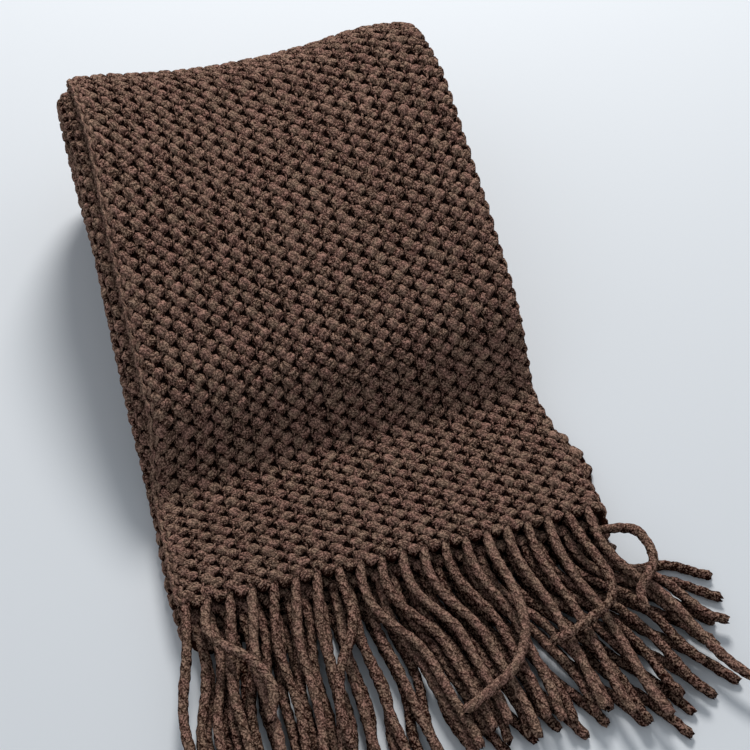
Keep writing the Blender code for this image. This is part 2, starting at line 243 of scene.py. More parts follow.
def lie(x, y, z):
    """The throw's slight unevenness, as one smooth shift of everything in it, about its middle."""
    side = x / (LAYER_WIDTH / 2)
    back = np.clip((y - BACK_START) / BACK_REACH, 0.0, 1.0)
    flap = smooth((FLAP_REACH - y) / FLAP_REACH)
    end = smooth((y - CORNER_START) / CORNER_REACH)
    drawn_in = np.where(x < 0, LEFT_CORNER, RIGHT_CORNER)
    corner = drawn_in * end * np.maximum(0.0, (np.abs(x) - CORNER_INSIDE) / CORNER_WIDTH) ** 2
    uneven = back * (MIDDLE_SAG + SIDE_TILT * side + SIDES_RISE * side * side)
    return np.stack([x * (1.0 + FLAP_WIDENING * flap) + (FAR_SHIFT + FAR_CURVE * back) * back - ORIGIN[0],
                     y + FLAP_SKEW * x * flap - corner - ORIGIN[1],
                     z * (1.0 + uneven - CORNER_DROP * corner)], axis=-1)


def fold(width, distance, depth):
    """The folded place of a point of the flat panel."""
    x, offset = across(width, depth)
    y, z = PATH.along(distance, offset)
    x = x + sideways(width, distance)
    y = y - LAYER_STEP * layer_number(width) * smooth(1.0 - distance / FLAP)
    return lie(x, y, z)


# The two faces of the cloth, each counted by its own length round the side folds. The front face starts
# at the first layer's left edge, and the back face at the third layer's right one.
OUTSIDE_FOLD = math.pi * (SIDE_FOLD + SKIN)
INSIDE_FOLD = math.pi * (SIDE_FOLD - SKIN)
BEYOND = 1.0                # how far the lists of both go on past the edges


def face_list(first_fold, second_fold):
    """Places where the parts of a face start, for side folds of these lengths."""
    return np.cumsum([-BEYOND, BEYOND, FLAT_LAYER, first_fold, MIDDLE_LAYER, second_fold, FLAT_LAYER, BEYOND])


FACE_PLACES = face_list(OUTSIDE_FOLD, INSIDE_FOLD)
FRONT_WIDTHS = face_list(FOLD_LENGTH, FOLD_LENGTH)
BACK_WIDTHS = WIDTH - FRONT_WIDTHS
SECOND_TOP = float(FACE_PLACES[3])          # where the second layer's upper side starts on the back face
THIRD_TOP = float(FACE_PLACES[5])           # and the third layer's on the front face
BACK_END = float(FACE_PLACES[6])            # where the back face ends, at the first layer's left edge

# Rows are counted over the outside of the bundle as far as the far fold, and along its middle after it.
# The knit is drawn out over the pile and pushed together on the flap, so its rows differ in length:
# distance along the bundle, and a row's length there as a share of ROW.
DRAWN_OUT = [(0.0, 0.88), (0.13, 0.90), (0.22, 1.00), (0.36, 1.08), (0.50, 1.15), (0.62, 1.12),
             (0.80, 1.02)]
MARGIN = 0.05               # how far the rows are counted past both ends
DISTANCES = np.linspace(-MARGIN, LENGTH + MARGIN, 2200)
GONE = np.diff(DISTANCES, prepend=DISTANCES[0]) / np.interp(DISTANCES, *zip(*DRAWN_OUT))
RUN_OF = np.clip(np.searchsorted(PATH.starts, DISTANCES, side="right") - 1, 0, len(PATH.starts) - 1)
STRETCH = np.where(DISTANCES < WRAP_END, 1.0 - OUTER * PATH.bends[RUN_OF], 1.0)
OUTER_LENGTHS = DISTANCES[0] + np.cumsum(GONE * STRETCH)


def on_front(place, row_place, height):
    """A point on the front face: place across it, row_place along it, height out of the cloth's middle."""
    width = np.interp(place, FACE_PLACES, FRONT_WIDTHS)
    return fold(width, np.interp(row_place, OUTER_LENGTHS, DISTANCES), height)


def on_back(place, row_place, height):
    """The same on the back face, whose rows are counted along the bundle's middle."""
    width = np.interp(place, FACE_PLACES, BACK_WIDTHS)
    return fold(width, row_place, -height)


# ---- small shapes and their joined copies ----
BOXY = 2.9                  # 2 makes a puff round, and more makes its sides steeper
ON_AXIS = 1e-6              # a point nearer to a puff's axis than this stays on it
PUFF_FACES, HIDDEN_PUFF_FACES = (12, 7), (8, 5)     # faces round a shape, and rings of them along it
STRAND_FACES, INNER_STRAND_FACES = (15, 64), (8, 10)


class Shape:
    """A small form taken from a bmesh: its points and its faces."""

    def __init__(self, mesh):
        mesh.verts.index_update()
        self.points = np.array([vertex.co[:] for vertex in mesh.verts])
        self.corners = np.array([vertex.index for face in mesh.faces for vertex in face.verts])
        self.sides = np.array([len(face.verts) for face in mesh.faces])
        mesh.free()


def puff_shape(around, rings):
    """A plump closed pod along X, one unit in half length and half width."""
    mesh = bmesh.new()
    bmesh.ops.create_uvsphere(mesh, u_segments=around, v_segments=rings, radius=1.0)
    bmesh.ops.rotate(mesh, verts=mesh.verts[:], matrix=Matrix.Rotation(math.pi / 2, 3, "Y"))
    for vertex in mesh.verts:
        x, y, z = vertex.co
        radius = math.hypot(y, z)
        if radius > ON_AXIS:
            square = (abs(y / radius) ** BOXY + abs(z / radius) ** BOXY) ** (-1 / BOXY)
            plump = square * (1.0 - abs(x) ** BOXY) ** (1 / BOXY) / radius
            vertex.co.y *= plump
            vertex.co.z *= plump
    bmesh.ops.recalc_face_normals(mesh, faces=mesh.faces[:])
    return Shape(mesh)


def tube_shape(around, rings):
    """A closed unit tube along Z from 0 to 1, radius 1."""
    mesh = bmesh.new()
    bmesh.ops.create_cone(mesh, cap_ends=True, segments=around, radius1=1.0, radius2=1.0, depth=1.0)
    bmesh.ops.translate(mesh, verts=mesh.verts[:], vec=(0.0, 0.0, 0.5))
    long_edges = [edge for edge in mesh.edges if abs(edge.verts[0].co.z - edge.verts[1].co.z) > 0.5]
    bmesh.ops.subdivide_edges(mesh, edges=long_edges, cuts=rings - 1, use_grid_fill=True)
    bmesh.ops.recalc_face_normals(mesh, faces=mesh.faces[:])
    return Shape(mesh)


class Heap:
    """Many placed copies of small shapes, joined into one mesh."""

    def __init__(self):
        self.points, self.yarn, self.shade, self.corners, self.sides = [], [], [], [], []
        self.size = 0

    def add(self, shape, placed, yarn, shade):
        """placed and yarn: copies by points by 3; shade: how much lighter or darker (own tone, painted light
        and shade), for copies by points.
        """
        copies, count = placed.shape[:2]
        placed[..., 2] = np.maximum(placed[..., 2], PRESSED)
        starts = self.size + np.arange(copies) * count
        self.points.append(placed.reshape(-1, 3))
        self.yarn.append(yarn.reshape(-1, 3))
        self.shade.append(np.broadcast_to(shade, (copies, count)).ravel())
        self.corners.append((starts[:, None] + shape.corners[None, :]).ravel())
        self.sides.append(np.tile(shape.sides, copies))
        self.size += copies * count

    def piece(self, name, material):
        """The joined mesh as an object at the origin."""
        points, corners = np.concatenate(self.points), np.concatenate(self.corners)
        sides = np.concatenate(self.sides)
        data = bpy.data.meshes.new(name)
        data.vertices.add(len(points))
        data.loops.add(len(corners))
        data.polygons.add(len(sides))
        data.vertices.foreach_set("co", points.ravel())
        data.loops.foreach_set("vertex_index", corners)
        data.polygons.foreach_set("loop_start", np.concatenate(([0], np.cumsum(sides)[:-1])))
        data.update(calc_edges=True)
        yarn, shade = np.concatenate(self.yarn).ravel(), np.concatenate(self.shade)
        data.attributes.new("yarn", "FLOAT_VECTOR", "POINT").data.foreach_set("vector", yarn)
        data.attributes.new("shade", "FLOAT", "POINT").data.foreach_set("value", shade)
        data.validate()
        return finish_piece(data, name, material)


def finish_piece(data, name, material):
    data.materials.append(material)
    data.shade_smooth()
    piece = bpy.data.objects.new(name, data)
    bpy.context.scene.collection.objects.link(piece)
    return piece


# ---- stitches ----
# Each cell of the knit has two puffs that lean against each other: place in the cell as shares of a column
# and of a row, lean in degrees, and length as a share of the set one.
PUFFS = [
    {"column": 0.27, "row": 0.50, "lean": -42.0, "length": 1.00},
    {"column": 0.64, "row": -0.05, "lean": 38.0, "length": 0.93},
]
PUFF_TILT = -0.0009         # rise of a puff from its middle to its upper end
PUFF_BOW = 0.0009           # how far its middle bends out sideways
LEAN_WOBBLE = 6.0           # how much a puff may differ in its lean, in degrees,
LENGTH_WOBBLE = 0.08        # in its length and width, as shares of them,
WIDTH_WOBBLE = 0.07
PLACE_WOBBLE = 0.03         # in its place, as a share of its column and row,
HEIGHT_WOBBLE = 0.0004      # and in its height
RIM_SLOPE, RIM_START, RIM_ENDS = 1.35, 0.06, 0.5    # painted shade: how a puff is painted lighter towards its top, and less so at its ends
PUFF_YARN = 0.11            # step in the yarn's pattern from stitch to stitch

CHAIN_PLACE = 0.98          # where the thin chain runs, as a share of its column
CHAIN_SIDES, CHAIN_STEPS = 6, 5     # its sides, and its steps in each row
CHAIN_RISE = 0.0038         # height of its middle over the cloth's, and of the edge chains'
EDGE_CHAIN_RISE = 0.0034
CHAIN_SWAY = 0.0011         # how far it sways, rises and swells once in each row
CHAIN_LIFT = 0.0005
CHAIN_SWELL = 0.22
CHAIN_PHASE = 0.7
CHAIN_SHADE, EDGE_CHAIN_SHADE = 0.05, 0.25
CHAIN_YARN = 3.0            # step in the yarn's pattern for each metre across
RIGHT_CHAINS, RIGHT_CHAIN_RISE = (-0.0030, 0.0030), 0.0030  # the two on the third layer's right edge


def add_puffs(heap, face, shape, sizes, start, columns, rows):
    """Two puffs in each cell of a stretch of one face. start: where column 0 begins across the face."""
    column, row = np.meshgrid(np.arange(*columns), np.arange(*rows), indexing="ij")
    column, row = column.reshape(-1, 1), row.reshape(-1, 1)
    cell, skein = column * 61 + row * 7, column * 7 + row * 3    # numbers that differ from cell to cell
    along, top = shape.points[None, :, 0], shape.points[None, :, 2]
    for kind, puff in enumerate(PUFFS):
        lean_by, length_by, width_by, column_by, row_by, height_by, shade_by = (
            wobble(column, row, kind, salt) for salt in range(1, 8))
        lean = np.radians(puff["lean"] + LEAN_WOBBLE * lean_by)
        length = sizes.puff_length / 2 * puff["length"] * (1.0 + LENGTH_WOBBLE * length_by)
        width = sizes.puff_width / 2 * (1.0 + WIDTH_WOBBLE * width_by)
        size = np.stack([length, width, np.full_like(length, sizes.puff_height / 2)], axis=-1)
        lumps = 1.0 + sizes.lumps * wobble(np.arange(len(shape.points))[None, :], cell, kind)
        local = shape.points[None, :, :] * size * lumps[..., None]
        x, y, z = local[..., 0], local[..., 1], local[..., 2]
        y_bowed = y + math.copysign(PUFF_BOW, puff["lean"]) * (1.0 - along ** 2)
        place = (start + (column + puff["column"] + PLACE_WOBBLE * column_by) * COLUMN
                 + x * np.cos(lean) - y_bowed * np.sin(lean))
        row_place = ((row + puff["row"] + PLACE_WOBBLE * row_by) * ROW
                     + x * np.sin(lean) + y_bowed * np.cos(lean))
        height = (sizes.puff_rise + HEIGHT_WOBBLE * height_by + z
                  - sizes.puff_dip * along ** 2 + PUFF_TILT * along)
        yarn = np.stack([x + PUFF_YARN * (skein + kind), y, z], axis=-1)
        # painted shade: darker at a puff's rim and ends, where it meets its neighbours, added to its own
        # random tone
        rim = smooth(RIM_SLOPE * top + RIM_START - RIM_ENDS * along ** 2)
        shade = PAINTED_RIM_SHADE * (rim - 1.0) + OWN * (0.5 + 0.5 * shade_by)
        heap.add(shape, face(place, row_place, height), yarn, shade)


def add_chain(heap, face, place, rows, radius, rise=CHAIN_RISE, shade=CHAIN_SHADE):
    """A thin yarn line between two columns, from the first to the last of rows."""
    first, last = rows
    shape = tube_shape(CHAIN_SIDES, (last - first) * CHAIN_STEPS)
    share = shape.points[:, 2]
    row = first + (last - first) * share
    turn = np.arctan2(shape.points[:, 1], shape.points[:, 0])
    swell = radius * (1.0 + CHAIN_SWELL * np.sin(2 * math.pi * row + CHAIN_PHASE))
    middle = place + CHAIN_SWAY * np.sin(2 * math.pi * row)
    lift = rise + CHAIN_LIFT * np.cos(2 * math.pi * row)
    placed = face(middle + swell * np.cos(turn), row * ROW, lift + swell * np.sin(turn))
    yarn = np.stack([row * ROW + CHAIN_YARN * place, swell * np.cos(turn), swell * np.sin(turn)], axis=-1)
    heap.add(shape, placed[None], yarn[None], shade)


# ---- strands ----
NEAR_ROWS = [
    {"name": "fringe_top", "strands": 20, "start": -12.0, "fall": 0.53,
     "wave": 0.0100, "turns": 0.80, "phase": 2.5,
     "lean": [(0.0, -12.0), (0.2, -9.0), (0.33, -12.0), (0.42, 12.0), (0.55, 11.0), (0.75, 6.0), (0.87, 6.0),
              (0.94, 10.0), (1.0, 18.0)],
     "share": [(0.0, 1.0), (0.5, 0.96), (0.7, 0.98), (0.9, 1.03), (1.0, 1.10)]},
    {"name": "fringe_middle", "strands": 28, "start": -3.0, "fall": 0.43,
     "wave": 0.0076, "turns": 0.95, "phase": 1.0,
     "lean": [(0.0, -10.0), (0.3, -8.0), (0.5, 8.0), (0.7, 19.0), (0.85, 26.0), (0.93, 32.0), (1.0, 42.0)],
     "share": [(0.0, 0.97), (0.4, 0.90), (0.6, 0.88), (0.8, 1.02), (0.9, 0.90), (1.0, 0.66)]},
    {"name": "fringe_bottom", "strands": 27, "start": 4.0, "fall": 0.33,
     "wave": 0.0080, "turns": 0.85, "phase": 4.0,
     "lean": [(0.0, -12.0), (0.2, -6.0), (0.4, 3.0), (0.6, 16.0), (0.75, 25.0), (0.9, 37.0), (1.0, 52.0)],
     "share": [(0.0, 0.93), (0.4, 0.84), (0.6, 0.86), (0.75, 1.06), (0.83, 0.98), (0.93, 0.67), (1.0, 0.52)]},
]
FAR_ROWS = ["fringe_inner_top", "fringe_inner_middle", "fringe_inner_bottom"]
LOOSE = {
    ("fringe_top", 1): [(-0.188, -0.014), (-0.189, -0.030), (-0.181, -0.048), (-0.165, -0.065),
                        (-0.154, -0.082), (-0.150, -0.104), (-0.160, -0.130)],
    ("fringe_top", 7): [(-0.058, -0.030), (-0.060, -0.056), (-0.070, -0.080), (-0.085, -0.100),
                        (-0.096, -0.125), (-0.101, -0.150), (-0.100, -0.176)],
    ("fringe_top", 14): [(0.088, -0.036), (0.089, -0.068), (0.088, -0.098), (0.080, -0.128),
                         (0.061, -0.152), (0.034, -0.165), (0.003, -0.176)],
    ("fringe_top", 18): [(0.175, -0.046), (0.177, -0.074), (0.178, -0.100), (0.169, -0.121),
                         (0.144, -0.132), (0.120, -0.138), (0.102, -0.139)],
    ("fringe_middle", 27): [(0.218, -0.046), (0.226, -0.061), (0.229, -0.080), (0.225, -0.097),
                            (0.213, -0.109), (0.201, -0.120), (0.197, -0.139)],
}


def layer_strip(layer):
    """The width range of a layer's flat part on the panel, from its left to its right."""
    if layer == 0:
        return 0.0, FLAT_LAYER
    if layer == 1:
        start = FLAT_LAYER + FOLD_LENGTH
        return start + MIDDLE_LAYER, start
    return WIDTH - FLAT_LAYER, WIDTH


def root_of(row, layer, number):
    """Where a near strand leaves the edge of its layer."""
    first, last = layer_strip(layer)
    share = (2 * number + 0.5) / (2 * row["strands"] - 1)
    edge = fold(np.array(first + (last - first) * share), np.array(0.0), 0.0)
    return edge + np.array([0.0, -HEADING, 0.0])


def between(table, share):
    """A value between those listed at shares of the way from the left to the right."""
    for (start, before), (end, after) in zip(table, table[1:]):
        if share <= end:
            return before + (after - before) * float(smooth((share - start) / (end - start)))
    return table[-1][1]


def near_path(row, number, root, band, share):
    """Places of one strand of the near end at shares of its length."""
    place = number / (row["strands"] - 1)
    start = math.radians(row["start"])
    lean = math.radians(between(row["lean"], place)) + LEAN_SCATTER * math.sin(SCATTER_STEP * number)
    length = STRAND_LENGTH * between(row["share"], place)
    length *= 1.0 + LENGTH_SCATTER * math.sin(SCATTER_STEP * number + row["phase"])
    wave = row["wave"] * np.sin(2 * math.pi * row["turns"] * share + WAVE_SPREAD * place + row["phase"])
    wave += CURL * np.sin(2 * math.pi * CURL_TURNS * share + CURL_SPREAD * place)
    heading = start + (lean - start) * smooth(share / TURN_IN)
    direction = np.stack([np.sin(heading), -np.cos(heading)], axis=-1)
    side = np.stack([-direction[:, 1], direction[:, 0]], axis=-1)
    flat = root[None, :2] + direction * (length * share)[:, None] + side * (share * wave)[:, None]
    rest = STRAND / 2 + BAND * band
    height = rest + (root[2] - rest) * (1.0 - smooth(share / row["fall"]))
    return np.column_stack([flat, height])


def loose_path(places, root, share):
    """Places of a strand that rises onto the others, on a smooth curve through its listed places."""
    points = [root]
    for step, (x, y) in enumerate(places, 1):
        part = step / len(places)
        over = STRAND / 2 + BAND * LAYERS + LOOSE_ARCH * math.sin(math.pi * part)
        height = root[2] + (over - root[2]) * smooth(part / LOOSE_RISE)
        points.append(np.array([x - ORIGIN[0], y - ORIGIN[1], height]))
    points = np.array([2 * points[0] - points[1]] + points + [2 * points[-1] - points[-2]])
    spans = len(points) - 3
    at = np.clip(share * spans, 0.0, spans - 1e-9)
    index = at.astype(int)
    t = (at - index)[:, None]
    a, b, c, d = (points[index + step] for step in range(4))
    return 0.5 * (2 * b + (c - a) * t + (2 * a - 5 * b + 4 * c - d) * t ** 2
                  + (3 * b - 3 * c + d - a) * t ** 3)


def inner_path(x, end, start_height, floor, share):
    """Places of one strand of the far end, which falls onto the knit under it and lies pressed there."""
    height = start_height + (floor - start_height) * smooth(share / INNER_FALL)
    return lie(x + 0.0 * share, end - INNER_LENGTH * share, height)


FUZZ = 0.07                 # unevenness of a strand's skin, as a share of its radius
GROOVE, RIDGE = 0.86, 0.21  # a strand's radius between two plies, and how much more it is on one
HALF_PLIES = 1.5
SWELLS = ((0.05, 95.0, 1.7), (0.03, 231.0, 1.0))    # size, pitch along a strand, step from strand to strand
STRAND_TURN, STRAND_YARN = 0.9, 0.40    # steps in turn and in the yarn's pattern, from strand to strand
TIP_START, TIP_LENGTH, TIP_THINNER = 0.985, 0.015, 0.30
FRAY_START, FRAY_LENGTH, FRAY = 0.99, 0.01, 0.5
LIT_SIDE = 1.05             # what a strand's painted upper-side light is counted down from
TUCKED = 0.06               # share of a near strand's length that starts inside the knit


def add_strand(heap, shape, path, radius, twist, shade, number, tucked=0.0):
    """A twisted yarn along a path. path gives places at shares of its length, and tucked is the share of
    it that starts inside the knit."""
    share = shape.points[:, 2]
    levels, level = np.unique(np.round(share, 6), return_inverse=True)
    places = path(np.clip(levels * (1.0 + tucked) - tucked, 0.0, 1.0))
    if tucked:
        inside = np.minimum(levels * (1.0 + tucked) - tucked, 0.0)
        places = places + np.outer(inside * STRAND_LENGTH, np.array([0.0, -1.0, 0.0]))
    direction = np.gradient(places, axis=0)
    direction /= np.linalg.norm(direction, axis=1, keepdims=True)
    side = np.cross(direction, np.array([0.0, 0.0, 1.0]))
    side /= np.linalg.norm(side, axis=1, keepdims=True)
    up = np.cross(side, direction)
    gone = np.concatenate(([0.0], np.cumsum(np.linalg.norm(np.diff(places, axis=0), axis=1))))[level]
    turn = np.arctan2(shape.points[:, 1], shape.points[:, 0]) + STRAND_TURN * number
    on_axis = np.hypot(shape.points[:, 0], shape.points[:, 1])
    plies = GROOVE + RIDGE * np.abs(np.sin(HALF_PLIES * (turn - 2 * math.pi * gone / twist)))
    swell = 1.0
    for size, pitch, step in SWELLS:
        swell = swell + size * np.sin(gone * pitch + step * number)
    points = np.arange(len(share))
    fuzz = 1.0 + FUZZ * wobble(points, number)
    tip = 1.0 - TIP_THINNER * smooth((share - TIP_START) / TIP_LENGTH)
    thick = radius * plies * swell * fuzz * on_axis * tip
    sideways_by, up_by = thick * np.cos(turn), thick * np.sin(turn)
    placed = places[level] + side[level] * sideways_by[:, None] + up[level] * up_by[:, None]
    frayed = FRAY * radius * smooth((share - FRAY_START) / FRAY_LENGTH) * wobble(points, number, 3)
    placed += direction[level] * frayed[:, None]
    yarn = np.stack([gone + STRAND_YARN * number, sideways_by, up_by], axis=-1)
    # painted light and shade: a strand's upper side lighter and its lower side darker
    painted_side_light = smooth(0.5 + 0.5 * np.sin(turn)) - LIT_SIDE
    heap.add(shape, placed[None], yarn[None], OWN * (shade - 0.5) + PAINTED_UPPER_LIGHT * painted_side_light)


# ---- materials ----
MATT, NO_GLOSS = 0.95, 0.02
FINE_GRAIN, COARSE_GRAIN = 600.0, 300.0     # scales of the pile's two noises
FINE_SHARE, COARSE_SHARE = 0.7, 0.3         # and their weights in it
PILE_DARK, PILE_LIGHT = 0.467, 0.594        # where the pile is darkest and lightest
PATCH_GRAIN, PATCH_OLIVE, PATCH_RED = 95.0, 0.36, 0.66
OLIVE, RED = (0.985, 1.00, 0.90, 1.0), (1.06, 0.925, 0.91, 1.0)
PILE_HEIGHT, BUMP_DEPTH = 1.6, 0.0012       # the pile's height against the plies', and the depth of both
BACKING_GRAIN, BACKING_DARK, BACKING_BUMP, BACKING_DEPTH = 400.0, 0.6, 0.6, 0.0008
# plies, their turn in radians a metre, weights of the pile and of the painted ply-crease shade, crease width
LOOKS = {
    "Chenille stitches": (4.0, 60.0, 0.84, 0.12, 0.55),
    "Chenille strands": (3.0, 2 * math.pi / 0.040, 0.75, 0.28, 0.43),
}


def add_node(tree, kind, result, inputs, **options):
    """One output of a new node. Each input that is named gets a value or another node's output."""
    node = tree.nodes.new("ShaderNode" + kind)
    for name, option in options.items():
        setattr(node, name, option)
    for name, value in inputs.items():
        if isinstance(value, bpy.types.NodeSocket):
            tree.links.new(value, node.inputs[name])
        else:
            node.inputs[name].default_value = value
    return node.outputs[result]


def math_node(tree, operation, *values, clamp=False):
    return add_node(tree, "Math", 0, dict(enumerate(values)), operation=operation, use_clamp=clamp)


def noise_node(tree, place, grain, detail):
    return add_node(tree, "TexNoise", "Fac", {"Vector": place, "Scale": grain, "Detail": detail})


def range_node(tree, value, low, high):
    """0 where the value is low or less, and 1 where it is high or more."""
    return add_node(tree, "MapRange", "Result", {"Value": value, "From Min": low, "From Max": high})


def mix_node(tree, factor, first, second, blend="MIX"):
    return add_node(tree, "Mix", "Result", {"Factor": factor, "A": first, "B": second},
                    data_type="RGBA", blend_type=blend)


def bump_node(tree, height, strength, depth):
    return add_node(tree, "Bump", "Normal", {"Height": height, "Strength": strength, "Distance": depth})


def new_group(name, numbers, result):
    """An empty shader group of the yarn's places and numbers: itself, what it is given and its result."""
    group = bpy.data.node_groups.new(name, "ShaderNodeTree")
    group.interface.new_socket("Yarn", in_out="INPUT", socket_type="NodeSocketVector")
    for number in numbers:
        group.interface.new_socket(number, in_out="INPUT", socket_type="NodeSocketFloat")
    group.interface.new_socket(result, in_out="OUTPUT", socket_type="NodeSocketFloat")
    return group, group.nodes.new("NodeGroupInput").outputs, group.nodes.new("NodeGroupOutput").inputs[result]


def pile_group(name):
    """Fuzz of chenille yarn: a fine random speckle along the yarn's own places, which sets both its lightness
    and its pile's height.
    """
    group, given, result = new_group(name, (), "Pile")
    fine = noise_node(group, given["Yarn"], FINE_GRAIN, 1.0)
    coarse = math_node(group, "MULTIPLY", noise_node(group, given["Yarn"], COARSE_GRAIN, 1.0), COARSE_SHARE)
    group.links.new(math_node(group, "MULTIPLY_ADD", fine, FINE_SHARE, coarse), result)
    return group


def ply_group(name):
    """Twisted plies of a yarn: 0 in the crease between two and 1 on top of one."""
    group, given, result = new_group(name, ("Plies", "Twist"), "Round")
    split = group.nodes.new("ShaderNodeSeparateXYZ")
    group.links.new(given["Yarn"], split.inputs[0])
    x, y, z = split.outputs
    along = math_node(group, "MULTIPLY", x, given["Twist"])
    wind = math_node(group, "SUBTRACT", math_node(group, "ARCTAN2", z, y), along)
    turns = math_node(group, "MULTIPLY", wind, given["Plies"])
    wave = math_node(group, "SINE", math_node(group, "MULTIPLY", turns, 0.5))
    group.links.new(math_node(group, "ABSOLUTE", wave), result)
    return group


def place_group(tree, make, name, result, **inputs):
    """The result of a shader group in a material. The group is made on its first use."""
    group = bpy.data.node_groups.get(name) or make(name)
    return add_node(tree, "Group", result, inputs, node_tree=group)


def plain_material(name, roughness, gloss):
    """A new material, its node tree and its shader's inputs."""
    material = bpy.data.materials.new(name)
    material.use_nodes = True
    shader = material.node_tree.nodes["Principled BSDF"].inputs
    shader["Roughness"].default_value = roughness
    shader["Specular IOR Level"].default_value = gloss
    return material, material.node_tree, shader


def yarn_material(name, colours):
    """Matt chenille yarn, made on its first use: colour between dark and light by pile, painted ply-crease
    shade and the shade attribute.
    """
    if name in bpy.data.materials:
        return bpy.data.materials[name]
    plies, twist, speckle, creases, crease_width = LOOKS[name]
    material, tree, shader = plain_material(name, MATT, NO_GLOSS)
    yarn = add_node(tree, "Attribute", "Vector", {}, attribute_name="yarn")
    shade = add_node(tree, "Attribute", "Fac", {}, attribute_name="shade")
    pile = place_group(tree, pile_group, "Chenille pile", "Pile", Yarn=yarn)
    plied = place_group(tree, ply_group, "Yarn plies", "Round", Yarn=yarn, Plies=plies, Twist=twist)

    # lightness: pile + painted shade in the ply creases + the shade attribute (own tone, painted light and
    # shade)
    creased = math_node(tree, "MULTIPLY_ADD", range_node(tree, plied, 0.0, crease_width), creases, shade)
    lightness = math_node(tree, "MULTIPLY_ADD", range_node(tree, pile, PILE_DARK, PILE_LIGHT), speckle,
                          creased, clamp=True)
    colour = mix_node(tree, lightness, (*colours.dark_yarn, 1.0), (*colours.light_yarn, 1.0))

    # some yarn is redder than the rest, and some more olive
    patch = range_node(tree, noise_node(tree, yarn, PATCH_GRAIN, 2.0), PATCH_OLIVE, PATCH_RED)
    tinted = mix_node(tree, 1.0, colour, mix_node(tree, patch, OLIVE, RED), "MULTIPLY")
    tree.links.new(tinted, shader["Base Color"])

    height = math_node(tree, "MULTIPLY_ADD", pile, PILE_HEIGHT, plied)
    tree.links.new(bump_node(tree, height, 1.0, BUMP_DEPTH), shader["Normal"])
    return material


def backing_material(colour):
    """Painted shade: a near-black colour for the yarn seen deep between the stitches, where shade falls."""
    material, tree, shader = plain_material("Painted shade between stitches", 1.0, 0.05)
    fuzz = noise_node(tree, add_node(tree, "TexCoord", "Object", {}), BACKING_GRAIN, 2.0)
    darker = (*[BACKING_DARK * channel for channel in colour], 1.0)
    tree.links.new(mix_node(tree, fuzz, darker, (*colour, 1.0)), shader["Base Color"])
    tree.links.new(bump_node(tree, fuzz, BACKING_BUMP, BACKING_DEPTH), shader["Normal"])
    return material


# ---- settings ----
class ThrowSizes(bpy.types.PropertyGroup):
    """Sizes of the stitches and the strands."""
    puff_length: bpy.props.FloatProperty(
        name="Stitch length", description="Length of one puff of the knit", default=0.0176, unit="LENGTH")
    puff_width: bpy.props.FloatProperty(
        name="Stitch width", description="Width of one puff of the knit", default=0.0120, unit="LENGTH")
    puff_height: bpy.props.FloatProperty(
        name="Stitch thickness", description="Thickness of one puff", default=0.0098, unit="LENGTH")
    puff_rise: bpy.props.FloatProperty(
        name="Stitch rise", description="Height of a puff's middle over the middle of the cloth",
        default=0.0027, unit="LENGTH")
    puff_dip: bpy.props.FloatProperty(
        name="Stitch dip", description="How far a puff's two ends dip under its neighbours",
        default=0.0032, unit="LENGTH")
    lumps: bpy.props.FloatProperty(
        name="Lumps", description="Unevenness of a puff, as a share of its size",
        default=0.05, min=0.0, max=0.2)
    chain: bpy.props.FloatProperty(
        name="Chain yarn", description="Radius of the thin line between two columns",
        default=0.0015, unit="LENGTH")
    edge_chain: bpy.props.FloatProperty(
        name="Edge chain yarn", description="Radius of the two chains along the panel's edge",
        default=0.0024, unit="LENGTH")
    twist: bpy.props.FloatProperty(
        name="Strand twist", description="Length in which a fringe strand turns once",
        default=0.040, unit="LENGTH")


class ThrowColours(bpy.types.PropertyGroup):
    """Colours of the yarn, the painted shade between its stitches, and the floor."""
    # the yarn runs from dark to light by random pile speckle and tone, and by painted light and shade
    light_yarn: bpy.props.FloatVectorProperty(
        name="Light yarn", description="Yarn on top of its pile", subtype="COLOR", min=0.0, max=1.0,
        default=(0.376, 0.241, 0.191))
    dark_yarn: bpy.props.FloatVectorProperty(
        name="Dark yarn", description="Yarn deep in its pile", subtype="COLOR", min=0.0, max=1.0,
        default=(0.016, 0.004, 0.002))
    # painted shade: this near-black cloth colour stands for the shade in the gaps of the knit
    painted_gap_shade: bpy.props.FloatVectorProperty(
        name="Painted shade between stitches", description="Yarn in the gaps of the knit", subtype="COLOR",
        min=0.0, max=1.0, default=(0.008, 0.003, 0.002))
    floor: bpy.props.FloatVectorProperty(
        name="Floor", description="Pale floor under the throw", subtype="COLOR", min=0.0, max=1.0,
        default=(0.80, 0.83, 0.86))


def settings(context):
    return context.scene.throw_sizes, context.scene.throw_colours


